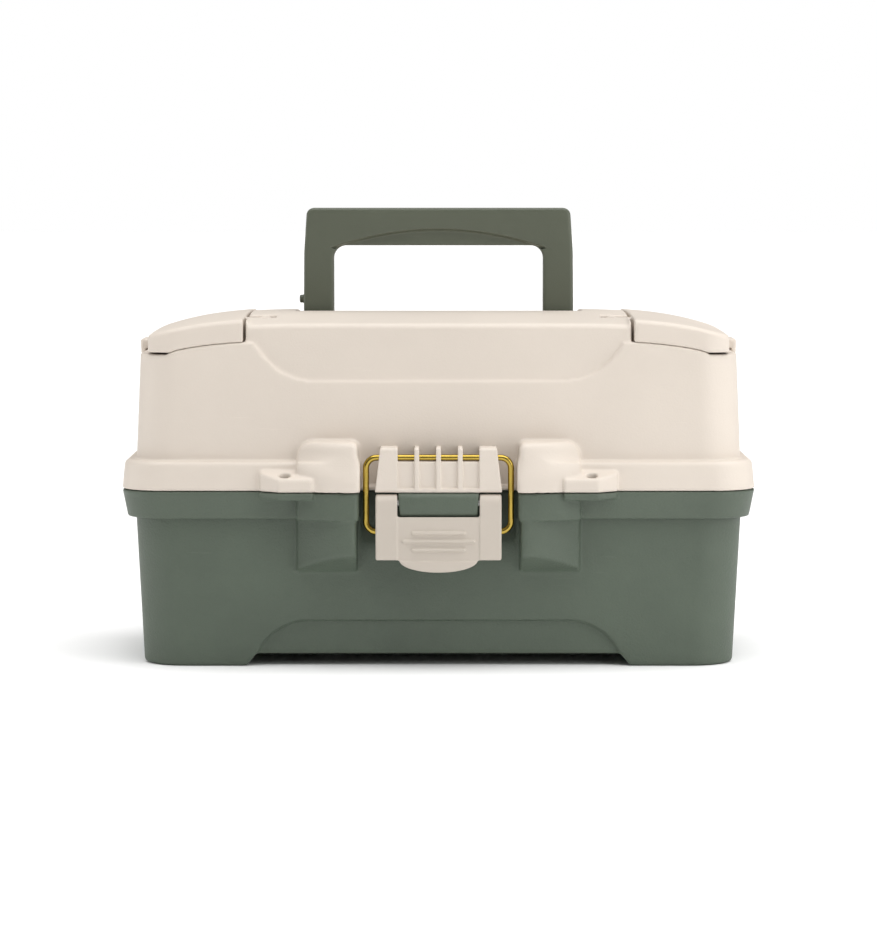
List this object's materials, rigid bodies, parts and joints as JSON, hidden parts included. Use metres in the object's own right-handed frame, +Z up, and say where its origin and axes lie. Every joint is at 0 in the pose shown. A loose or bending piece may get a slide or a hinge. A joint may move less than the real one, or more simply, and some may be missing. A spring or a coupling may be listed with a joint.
{
  "type": "fishing tackle box",
  "caption": "Moulded fishing tackle box with a hinged lid, top-access doors, folding handle, wire draw latch and cantilever lift-out trays.",
  "frame": {"origin": "centre of the box's footprint, latch and rear hinges included, on the surface it stands on", "axes": "+X to the right along the length, +Y from the latch towards the rear hinges, +Z up"},
  "size_m": [0.3634, 0.2039, 0.2616],
  "materials": {
    "tub_green": "fine moulded pebble grain, low sheen",
    "lid_cream": "fine moulded grain, low sheen",
    "door_cream": "fine moulded grain, low sheen",
    "handle_green": "smooth satin moulding with a fine grain",
    "lever_beige": "smooth satin moulding",
    "bail_brass": "bright drawn wire",
    "pin_steel": "plain zinc-plated wire",
    "linkage_steel": "stamped zinc-plated sheet",
    "tray_grey": "smooth moulding",
    "divider_grey": "smooth thin moulding"
  },
  "bodies": {
    "base": {"arm_rivet_left": "pin_steel", "arm_rivet_right": "pin_steel", "base_tub": "tub_green", "hinge_pin_left": "pin_steel", "hinge_pin_right": "pin_steel", "latch_pin": "pin_steel"},
    "lid": {"bracket_screw_front_left": "pin_steel", "bracket_screw_front_right": "pin_steel", "bracket_screw_rear_left": "pin_steel", "bracket_screw_rear_right": "pin_steel", "door_pin_left_front": "pin_steel", "door_pin_left_rear": "pin_steel", "door_pin_right_front": "pin_steel", "door_pin_right_rear": "pin_steel", "handle_pin_left": "pin_steel", "handle_pin_right": "pin_steel", "lid_bracket_left": "linkage_steel", "lid_bracket_right": "linkage_steel", "lid_shell": "lid_cream"},
    "door_left": {"top_door_left": "door_cream"},
    "door_right": {"top_door_right": "door_cream"},
    "handle": {"handle": "handle_green"},
    "latch_lever": {"latch_lever": "lever_beige"},
    "latch_bail": {"latch_bail": "bail_brass"},
    "arm_left": {"arm_left": "linkage_steel"},
    "arm_right": {"arm_right": "linkage_steel"},
    "tray_lower": {"bracket_rivet_lower_left": "pin_steel", "bracket_rivet_lower_right": "pin_steel", "divider_lower_1": "divider_grey", "divider_lower_2": "divider_grey", "divider_lower_3": "divider_grey", "divider_lower_4": "divider_grey", "tray_lower": "tray_grey", "tray_pin_lower_left": "pin_steel", "tray_pin_lower_right": "pin_steel"},
    "tray_upper": {"bracket_rivet_upper_left": "pin_steel", "bracket_rivet_upper_right": "pin_steel", "divider_upper_1": "divider_grey", "divider_upper_2": "divider_grey", "divider_upper_3": "divider_grey", "divider_upper_4": "divider_grey", "tray_pin_upper_left": "pin_steel", "tray_pin_upper_right": "pin_steel", "tray_upper": "tray_grey"}
  },
  "joints": [
    {"name": "lid_hinge", "type": "hinge", "parent": "base", "child": "lid", "pos_m": [0, 0.0975, 0.1018], "axis": [-1, 0, 0], "range_deg": [0, 100]},
    {"name": "door_left_hinge", "type": "hinge", "parent": "lid", "child": "door_left", "pos_m": [-0.1, 0.003, 0.1956], "axis": [0, 1, 0], "range_deg": [0, 100]},
    {"name": "door_right_hinge", "type": "hinge", "parent": "lid", "child": "door_right", "pos_m": [0.1, 0.003, 0.1956], "axis": [0, -1, 0], "range_deg": [0, 100]},
    {"name": "handle_fold", "type": "hinge", "parent": "lid", "child": "handle", "pos_m": [0, 0.001, 0.1926], "axis": [-1, 0, 0], "range_deg": [0, 90]},
    {"name": "latch_pull", "type": "hinge", "parent": "base", "child": "latch_lever", "pos_m": [0, -0.0952, 0.0958], "axis": [-1, 0, 0], "range_deg": [0, 100]},
    {"name": "bail_swing", "type": "hinge", "parent": "latch_lever", "child": "latch_bail", "pos_m": [0, -0.0934, 0.0794], "axis": [1, 0, 0], "range_deg": [0, 160]},
    {"name": "arm_left_swing", "type": "hinge", "parent": "base", "child": "arm_left", "pos_m": [-0.1672, 0.051, 0.0896], "axis": [-1, 0, 0], "range_deg": [0, 100]},
    {"name": "arm_right_swing", "type": "hinge", "parent": "base", "child": "arm_right", "pos_m": [0.1672, 0.051, 0.0896], "axis": [-1, 0, 0], "range_deg": [0, 100]},
    {"name": "tray_lower_swing", "type": "hinge", "parent": "lid", "child": "tray_lower", "pos_m": [0, 0.0295, 0.0908], "axis": [1, 0, 0], "range_deg": [0, 100]},
    {"name": "tray_upper_swing", "type": "hinge", "parent": "lid", "child": "tray_upper", "pos_m": [0, -0.0145, 0.1238], "axis": [1, 0, 0], "range_deg": [0, 100]}
  ],
  "couplings": [
    {"joint": "bail_swing", "follows": "latch_pull", "ratio": 1.6},
    {"joint": "arm_left_swing", "follows": "lid_hinge", "ratio": 1},
    {"joint": "arm_right_swing", "follows": "lid_hinge", "ratio": 1},
    {"joint": "tray_lower_swing", "follows": "lid_hinge", "ratio": 1},
    {"joint": "tray_upper_swing", "follows": "lid_hinge", "ratio": 1}
  ]
}
